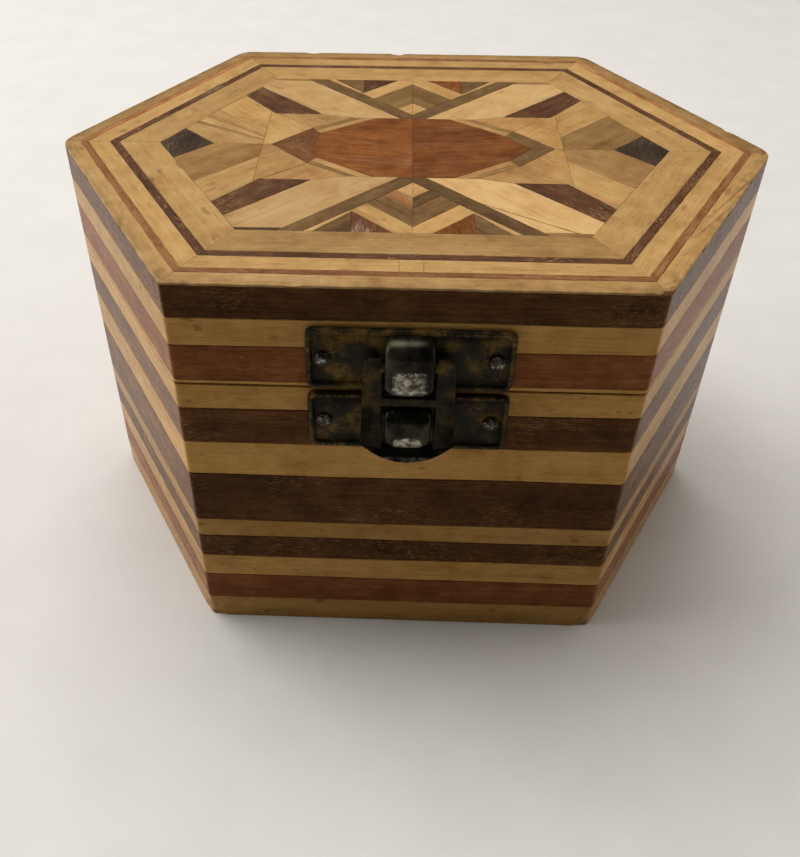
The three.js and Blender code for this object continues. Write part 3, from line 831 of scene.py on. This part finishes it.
def add_striped_band(points, node, degrees):
    inner, heel, knee, outer, tail = (Vector(point) for point in points)
    ends = [strip[0] for strip in BAND_STRIPS[1:]] + [1.0]
    for i, ((start, kind, tone), stop) in enumerate(zip(BAND_STRIPS, ends)):
        outline = [inner.lerp(tail, start)]
        if i == 0:
            outline.append(heel)
        outline += [knee.lerp(outer, start), knee.lerp(outer, stop), inner.lerp(tail, stop)]
        placed = [(-p.x, p.y) for p in outline]
        veneer(f"{STRIPED_BAND}_{i + 1}", placed, kind, node, degrees, tone)


def add_field():
    """All tiles inside the border."""
    add_middle_tiles()
    for i, quarter in enumerate(QUARTERS):
        end, side = quarter.split("_")
        flip_x = -1 if side == "left" else 1
        flip_y = -1 if end == "front" else 1
        for tile, node, slot, degrees, points in quarter_tiles(side, end):
            name = f"{tile}_{quarter}"
            if name == STRIPED_BAND:
                add_striped_band(points, node, -degrees)
                continue
            kind, tone = TILE_WOODS[tile][i]
            if name == CRACKED_TILE:
                add_cracked_tile(points, kind, node, -degrees, tone)
                continue
            placed = [(x * flip_x, y * flip_y) for x, y in points]
            veneer(name, placed, kind, node, degrees * flip_x * flip_y, tone)


# Fittings

# The plates and their nails
UPPER_PLATE_Z = 62.5
LOWER_PLATE_Z = 50.75
PLATE_WIDTH = 31.0
PLATE_HALF_HEIGHT = 5.4
PLATE_RADIUS = 1.3
PLATE_NAIL_X = 13.0
NAIL_OUT = 0.8

# A plate's rim as inset, height and rub
PLATE_PROFILE = (
    (0.3, 0.12, 0.0), (0.0, 0.2, 0.0), (0.0, 0.72, 0.0), (0.1, 0.98, 0.32), (0.35, 1.13, 0.42),
    (0.75, 1.11, 0.3), (0.9, 0.95, 0.0), (0.98, 0.62, 0.0), (1.12, 0.6, 0.0), (1.2, 0.66, 0.0),
)

# A nail's head as radius and height, and where the painted shade at its rim begins
NAIL_PROFILE = (
    (0, 0.0), (1.15, 0.0), (1.25, 0.08), (1.22, 0.22), (1.05, 0.4), (0.75, 0.53), (0.4, 0.59), (0, 0.6),
)
NAIL_SHADED_RIM = 1.1

# A strap's cross-sections over its width, and how its sides are rounded
STRAP_SHARES = (0.0, 0.02, 0.05, 0.1, 0.17, 0.26, 0.4, 0.6, 0.74, 0.83, 0.9, 0.95, 0.98, 1.0)
STRAP_WIDTH = 7.4
STRAP_ROUNDING = 0.32
STRAP_PILLOW = 0.75
STRAP_LIFT = 0.7
STRAP_DROOP = 0.5

# Bars and barrels: chamfer and rub; angles up to which metal is smooth
BAR_CHAMFER = 0.08
BAR_RUB = 0.15
METAL_SMOOTH = 40
NAIL_SMOOTH = 60


def face_matrix(front, z):
    """A frame on the front or back face: x across, y up and z out of the face."""
    y = -HALF_DEPTH if front else HALF_DEPTH
    place = Matrix.Translation(Vector((0, y, z)) * MM)
    turn = Matrix.Rotation(math.pi / 2, 4, "X")
    return place @ (turn if front else Matrix.Rotation(math.pi, 4, "Z") @ turn)


def arc(x, y, radius, start, stop, steps):
    """Points on a circle about x and y, from one angle to another in degrees."""
    points = []
    for k in range(steps + 1):
        a = math.radians(start + (stop - start) * k / steps)
        points.append((x + radius * math.cos(a), y + radius * math.sin(a)))
    return points


def rounded_box(width, bottom, top, radius):
    """A rectangle about x = 0 with rounded corners."""
    across = width / 2 - radius
    low = bottom + radius
    high = top - radius
    corners = ((across, low, -90), (across, high, 0), (-across, high, 90), (-across, low, 180))
    return [point for x, y, start in corners for point in arc(x, y, radius, start, start + 90, 5)]


def bezier(a, b, c, d, steps=10):
    """Points along a cubic curve, without its first."""
    points = []
    for k in range(1, steps + 1):
        t = k / steps
        s = 1 - t
        weights = (s**3, 3 * s * s * t, 3 * s * t * t, t**3)
        points.append(tuple(sum(w * p[i] for w, p in zip(weights, (a, b, c, d))) for i in range(2)))
    return points


def strap_outline(top, bottom, reach, sheet=0.9, back=0.4):
    """Side view of a strap pressed out of its plate, as distance out and height."""

    def shell(reach, top, bottom):
        waist = bottom + (top - bottom) * 0.17
        brow = bottom + (top - bottom) * 0.6
        line = [(back, bottom), (reach * 0.6, bottom)]
        line += bezier(line[-1], (reach * 0.88, bottom), (reach, waist - 0.7), (reach, waist))
        line += bezier((reach, brow), (reach, top - reach * 0.25), (reach * 0.7, top), (back, top))
        return line

    outer = shell(reach, top, bottom)
    inner = shell(reach - sheet, top - sheet, bottom + sheet)
    return outer + inner[::-1]


def strap(top, bottom, reach, taper, rub):
    """A pillowed strap on the face frame; rub gives how bright each spot is worn."""
    half = STRAP_WIDTH / 2
    profile = []
    for share in STRAP_SHARES:
        rounding = STRAP_ROUNDING * abs(2 * share - 1) ** 24
        profile.append((rounding, STRAP_WIDTH * share - half, 0))
    verts, faces, _ = relief(strap_outline(top, bottom, reach), profile, 0.45)
    placed = []
    for v in verts:
        share = (top - v.y) / (top - bottom)
        swell = abs(v.z / half) ** 4
        out = v.x - STRAP_PILLOW * swell * v.x / reach
        lift = STRAP_LIFT * swell * max(0.0, share - 0.6) / 0.4
        droop = STRAP_DROOP * swell * max(0.0, 0.3 - share) / 0.3
        placed.append(Vector((v.z * (1 - taper * share), v.y + (lift - droop), out)))
    return placed, [tuple(reversed(face)) for face in faces], [rub(p) for p in placed]


def patch(place, middle, size):
    """A soft-edged worn patch on the face frame, 1 in its middle."""
    across = (place.x / size[0]) ** 4 + ((place.y - middle) / size[1]) ** 4
    return max(0.0, 1 - across)


def add_plate(name, body, z, strap_part):
    """A stamped plate with a raised rim and a strap pressed out of it."""
    outline = rounded_box(PLATE_WIDTH, -PLATE_HALF_HEIGHT, PLATE_HALF_HEIGHT, PLATE_RADIUS)
    plate = relief(outline, PLATE_PROFILE, 1.2)
    form = merge([plate, strap_part])
    polish = [0.0] * len(plate[0]) + [1.0] * len(strap_part[0])
    add_piece(name + "_stamping", form, "brass", body, name,
              smooth=METAL_SMOOTH, polish=polish, matrix=face_matrix(True, z))


def spun(profile, steps):
    """A round form about z from radius and height, closed on the axis at both ends."""
    verts = [Vector((0, 0, profile[0][1]))]
    for radius, height in profile[1:-1]:
        for k in range(steps):
            a = 2 * math.pi * k / steps
            verts.append(Vector((radius * math.cos(a), radius * math.sin(a), height)))
    verts.append(Vector((0, 0, profile[-1][1])))
    faces = []
    rings = len(profile) - 2
    for k in range(steps):
        after = (k + 1) % steps
        faces.append((0, 1 + after, 1 + k))
        for ring in range(rings - 1):
            low = 1 + ring * steps
            faces.append((low + k, low + after, low + steps + after, low + steps + k))
        last = 1 + (rings - 1) * steps
        faces.append((last + k, last + after, len(verts) - 1))
    return verts, faces


def add_nail(name, body, front, x, z):
    verts, faces = spun(NAIL_PROFILE, 20)
    edges = [1.0 if v.xy.length > NAIL_SHADED_RIM else 0.0 for v in verts]
    across = x if front else -x
    place = face_matrix(front, z) @ Matrix.Translation(Vector((across, 0, NAIL_OUT)) * MM)
    add_piece(name + "_head", (verts, faces, edges), "steel", body, name,
              smooth=NAIL_SMOOTH, matrix=place)


def rod(radius, left, right, out):
    """A round bar along x on the face frame."""
    profile = ((0, left), (radius - BAR_CHAMFER, left), (radius, left + BAR_CHAMFER))
    profile += tuple((r, left + right - x) for r, x in reversed(profile))
    verts, faces = spun(profile, 16)
    placed = [Vector((v.z, v.x, v.y + out)) for v in verts]
    return placed, faces, [BAR_RUB] * len(verts)


def barrel(radius, bore, left, right, out, steps=16):
    """A hollow hinge barrel along x on the face frame."""
    profile = ((bore, left), (radius - BAR_CHAMFER, left), (radius, left + BAR_CHAMFER))
    profile += tuple((r, left + right - x) for r, x in reversed(profile))
    verts = []
    faces = []
    for ring, (r, x) in enumerate(profile):
        low = ring * steps
        high = (ring + 1) % len(profile) * steps
        for k in range(steps):
            a = 2 * math.pi * k / steps
            after = (k + 1) % steps
            verts.append(Vector((x, r * math.cos(a), r * math.sin(a) + out)))
            faces.append((low + k, low + after, high + after, high + k))
    return verts, faces, [BAR_RUB] * len(verts)


# The hasp, measured from its pivot: half widths at the bend, at the top and of its openings
BEND_HALF = 7.35
TOP_HALF = 6.8
OPENING_HALF = 4.0
HASP_SHOULDER = 1.5
HASP_OUT = 2.45
HASP_SHEET = 0.85

# Levels of the hasp: below the knuckle, the stud's window and the bend where the tongue begins
HASP_CROSSBAR = -5.6
HASP_WINDOW = (-7.2, -15.2)
HASP_BEND = -15.0

# The tongue: how far it hangs below the bend, where it is cut, and how steeply it flares
TONGUE_SAG = 2.6
TONGUE_CUTS = (-15.0, -15.6, -16.3, -17.1, -17.9)
TONGUE_FLARE = 0.5

HASP_BAR_RADIUS = 0.75
HASP_BAR_HALF = OPENING_HALF + 1.2


def hasp_outline():
    """Outline of the hasp from the bend at its right, with a gap for the knuckle at the top."""
    inner = OPENING_HALF
    middle = TOP_HALF - HASP_SHOULDER
    outline = [(BEND_HALF, HASP_BEND), (TOP_HALF, 0.2)]
    outline += arc(middle, 0, HASP_SHOULDER, 0, 90, 6)[1:]
    outline += [(inner, HASP_SHOULDER), (inner, HASP_CROSSBAR)]
    outline += [(-inner, HASP_CROSSBAR), (-inner, HASP_SHOULDER)]
    outline += arc(-middle, 0, HASP_SHOULDER, 90, 180, 6)
    outline.append((-BEND_HALF, HASP_BEND))
    radius = (BEND_HALF * BEND_HALF + TONGUE_SAG * TONGUE_SAG) / (2 * TONGUE_SAG)
    half = math.degrees(math.asin(BEND_HALF / radius))
    rim = arc(0, HASP_BEND + radius - TONGUE_SAG, radius, -90 - half, -90 + half, 16)
    return outline + rim[1:-1]


def hasp_sheet():
    """The hasp's sheet with its window cut out, its tongue flared and its edges rounded."""
    solid = bmesh.new()
    inner = OPENING_HALF
    top, bottom = HASP_WINDOW
    window = [(-inner, top), (inner, top), (inner, bottom), (-inner, bottom)]
    loops = []
    for outline in (hasp_outline(), window):
        loops.append([solid.verts.new((x, y, HASP_OUT - HASP_SHEET / 2)) for x, y in outline])
    for loop in loops:
        for a, b in zip(loop, loop[1:] + loop[:1]):
            solid.edges.new((a, b))
    bmesh.ops.triangle_fill(solid, use_beauty=True, edges=solid.edges[:])
    for level in TONGUE_CUTS:
        geometry = solid.verts[:] + solid.edges[:] + solid.faces[:]
        bmesh.ops.bisect_plane(solid, geom=geometry, plane_co=(0, level, 0), plane_no=(0, 1, 0))
    raised = bmesh.ops.extrude_face_region(solid, geom=solid.faces[:])
    for item in raised["geom"]:
        if isinstance(item, bmesh.types.BMVert):
            item.co.z += HASP_SHEET
    bmesh.ops.recalc_face_normals(solid, faces=solid.faces[:])
    for v in solid.verts:
        below = max(0.0, HASP_BEND - v.co.y)
        v.co.z += TONGUE_FLARE * below - 0.1 * below * math.exp(-below)
    sharp = [e for e in solid.edges if len(e.link_faces) == 2 and e.calc_face_angle() > 0.9]
    bmesh.ops.bevel(solid, geom=sharp, offset=0.26, segments=3, affect="EDGES", profile=0.6)
    solid.verts.ensure_lookup_table()
    verts = [v.co.copy() for v in solid.verts]
    faces = [tuple(v.index for v in f.verts) for f in solid.faces]
    solid.free()
    return verts, faces


def add_hasp():
    """The hasp: its shoulders are painted brighter, worn brass with a painted glint, and its tongue is
    black with a painted highlight along its rim.
    """
    verts, faces = hasp_sheet()
    # Painted highlight: the tongue's outermost rim gets the worn silver colour
    edges = [0.1 if v.y > -16 else min(1.0, max(0.0, 2.4 * (v.z - 3.5))) for v in verts]
    bar = rod(HASP_BAR_RADIUS, -HASP_BAR_HALF, HASP_BAR_HALF, HASP_OUT)
    form = merge([(verts, faces, edges), bar])
    polish = []
    tones = []
    for v in form[0]:
        # Painted glint: the shoulders are painted brighter brass, partly wear and partly a highlight
        bright = max(0.0, 1 - ((v.y - 0.4) / 2.6) ** 2)
        polish.append(min(1.0, max(0.3 * (1 - bright), (-14.0 - v.y) / 1.5)))
        tones.append(0.45 + 0.55 * bright)
    add_piece("hasp_stamping", form, "brass", "hasp", "hasp", tones,
              smooth=METAL_SMOOTH, polish=polish, matrix=face_matrix(True, UPPER_PLATE_Z))


def add_clasp():
    """Both plates with their straps and nails, and the hasp."""
    knuckle = strap(4.9, -4.6, 4.6, 0.0, lambda place: 0.76 * patch(place, -2.0, (3.3, 3.2)))
    stud = strap(4.2, -3.1, 4.3, 0.06, lambda place: 0.9 * patch(place, -1.9, (2.7, 1.7)))
    add_plate("clasp_plate_upper", "lid", UPPER_PLATE_Z, knuckle)
    add_plate("clasp_plate_lower", "box", LOWER_PLATE_Z, stud)
    add_hasp()
    for body, level, z in (("lid", "upper", UPPER_PLATE_Z), ("box", "lower", LOWER_PLATE_Z)):
        add_nail(f"clasp_nail_{level}_1", body, True, PLATE_NAIL_X, z)
        add_nail(f"clasp_nail_{level}_2", body, True, -PLATE_NAIL_X, z)


# The hinges: place, leaves, barrels, pins and nails
HINGE_X = {"left": -20.0, "right": 20.0}
HINGE_Z = 56.55
LEAF_WIDTH = 15.0
LEAF_HEIGHT = 8.5
LEAF_RADIUS = 0.8
LEAF_NECK = 1.65
LEAF_PROFILE = ((0.2, 0.12, 0.0), (0.0, 0.2, 0.1), (0.0, 0.6, 0.3), (0.12, 0.7, 0.3), (0.6, 0.7, 0.0))
TAB_PROFILE = ((0.0, 0.12, 0), (0.0, 0.66, 0.2), (0.05, 0.7, 0.2))
TAB_OVERLAP = 0.6
BARREL_SPANS = {"box": ((-7.5, -2.65), (2.65, 7.5)), "lid": ((-2.35, 2.35),)}
BARREL_RADIUS = 1.35
BARREL_BORE = 0.78
PIN_RADIUS = 0.6
PIN_OUT = 1.6
HINGE_NAIL_X = (-24.6, -15.4, 15.4, 24.6)
HINGE_NAIL_RISE = 5.6


def add_hinges():
    """Two nailed butt hinges, with the pins on the level of the seam."""
    for side, middle in HINGE_X.items():
        place = face_matrix(False, HINGE_Z) @ Matrix.Translation(Vector((-middle, 0, 0)) * MM)
        for body, up in (("box", -1), ("lid", 1)):
            bottom, top = sorted((up * LEAF_NECK, up * (LEAF_NECK + LEAF_HEIGHT)))
            parts = [relief(rounded_box(LEAF_WIDTH, bottom, top, LEAF_RADIUS), LEAF_PROFILE, 1.5)]
            low, high = sorted((0.0, up * (LEAF_NECK + TAB_OVERLAP)))
            for left, right in BARREL_SPANS[body]:
                tab = [(left, low), (right, low), (right, high), (left, high)]
                parts.append(relief(tab, TAB_PROFILE, 2.0))
                parts.append(barrel(BARREL_RADIUS, BARREL_BORE, left, right, PIN_OUT))
            node = f"hinge_{side}_{body}_leaf"
            add_piece(node + "_stamping", merge(parts), "brass", body, node,
                      smooth=METAL_SMOOTH, matrix=place)
        pin = rod(PIN_RADIUS, -LEAF_WIDTH / 2, LEAF_WIDTH / 2, PIN_OUT)
        node = f"hinge_{side}_pin"
        add_piece(node + "_rod", pin, "steel", "box", node, smooth=METAL_SMOOTH, matrix=place)
    for body, rise in (("box", -HINGE_NAIL_RISE), ("lid", HINGE_NAIL_RISE)):
        for i, x in enumerate(HINGE_NAIL_X):
            add_nail(f"hinge_nail_{body}_{i + 1}", body, False, x, HINGE_Z + rise)


# Stage, in metres

FLOOR_SIZE = 4.0
LIGHT_TARGET = (0, 0, 0.05)

# Disk lights: name, place, size, power and colour
LIGHTS = (
    ("ceiling", (-0.17, 0.28, 1.05), 1.0, 12.0, (1.0, 0.985, 0.95)),
    ("left_window", (-1.0, 0.25, 0.5), 1.3, 12.0, (1.0, 0.98, 0.94)),
    ("right_window", (1.05, 0.2, 0.3), 1.1, 4.0, (1.0, 0.9, 0.76)),
)
WORLD_COLOUR = (1.0, 0.94, 0.84, 1.0)
WORLD_STRENGTH = 0.1

# The camera: focal length and optical axis in pixels of the frame, place and directions
FRAME_HEIGHT = 857
FRAME_MIDDLE = (400, 428.5)
FOCAL_LENGTH = 949.3
OPTICAL_AXIS = (361, 439.4)
SENSOR = 36
CAMERA_PLACE = (-2.69, -159.79, 146.76)
CAMERA_FORWARD = (-0.0301, 0.7488, -0.6621)
CAMERA_RIGHT = (0.9992, 0.0404, 0.0003)


def add_stage():
    """A plain pale floor."""
    bpy.ops.mesh.primitive_plane_add(size=FLOOR_SIZE, location=(0, 0, 0))
    floor = bpy.context.object
    floor.name = "floor"
    g = Graph("floor_paper")
    coordinates = g.node("TexCoord", {}).outputs["Object"]
    mottle = g.noise(coordinates, 60.0, detail=4.0)
    colour = g.ramp(mottle, ((0.3, linear(203, 201, 199)), (0.7, linear(208, 206, 204))))
    g.bump(g.noise(coordinates, 900.0, detail=2.0), 0.15, 0.0003)
    floor.data.materials.append(g.finish(colour, 0.85))


def add_lights():
    """Soft studio light from above and from both sides."""
    scene = bpy.context.scene
    scene.view_settings.view_transform = "Standard"
    world = bpy.data.worlds.new("studio")
    world.use_nodes = True
    background = world.node_tree.nodes["Background"]
    background.inputs["Color"].default_value = WORLD_COLOUR
    background.inputs["Strength"].default_value = WORLD_STRENGTH
    scene.world = world
    for name, place, size, power, colour in LIGHTS:
        data = bpy.data.lights.new(name, "AREA")
        data.shape = "DISK"
        data.size = size
        data.energy = power
        data.color = colour
        light = bpy.data.objects.new(name, data)
        light.location = place
        aim = Vector(LIGHT_TARGET) - Vector(place)
        light.rotation_euler = aim.to_track_quat("-Z", "Y").to_euler()
        bpy.context.collection.objects.link(light)


def add_camera():
    """A camera at the photograph's viewing angle."""
    data = bpy.data.cameras.new("camera")
    data.lens = FOCAL_LENGTH / FRAME_HEIGHT * SENSOR
    data.sensor_width = SENSOR
    data.shift_x = (FRAME_MIDDLE[0] - OPTICAL_AXIS[0]) / FRAME_HEIGHT
    data.shift_y = (OPTICAL_AXIS[1] - FRAME_MIDDLE[1]) / FRAME_HEIGHT
    data.clip_start = 0.01
    camera = bpy.data.objects.new("camera", data)
    forward = Vector(CAMERA_FORWARD).normalized()
    right = Vector(CAMERA_RIGHT)
    right = (right - forward * right.dot(forward)).normalized()
    up = right.cross(forward)
    turn = Matrix((right, up, -forward)).transposed().to_4x4()
    camera.matrix_world = Matrix.Translation(Vector(CAMERA_PLACE) * MM) @ turn
    bpy.context.collection.objects.link(camera)
    bpy.context.scene.camera = camera


add_panels()
add_walls("box", BOX_STRIPS, 0.0, worn_foot)
add_walls("lid", LID_STRIPS, LID_RIM, worn_rim)
add_border()
add_field()
add_clasp()
add_hinges()
add_stage()
add_lights()
add_camera()
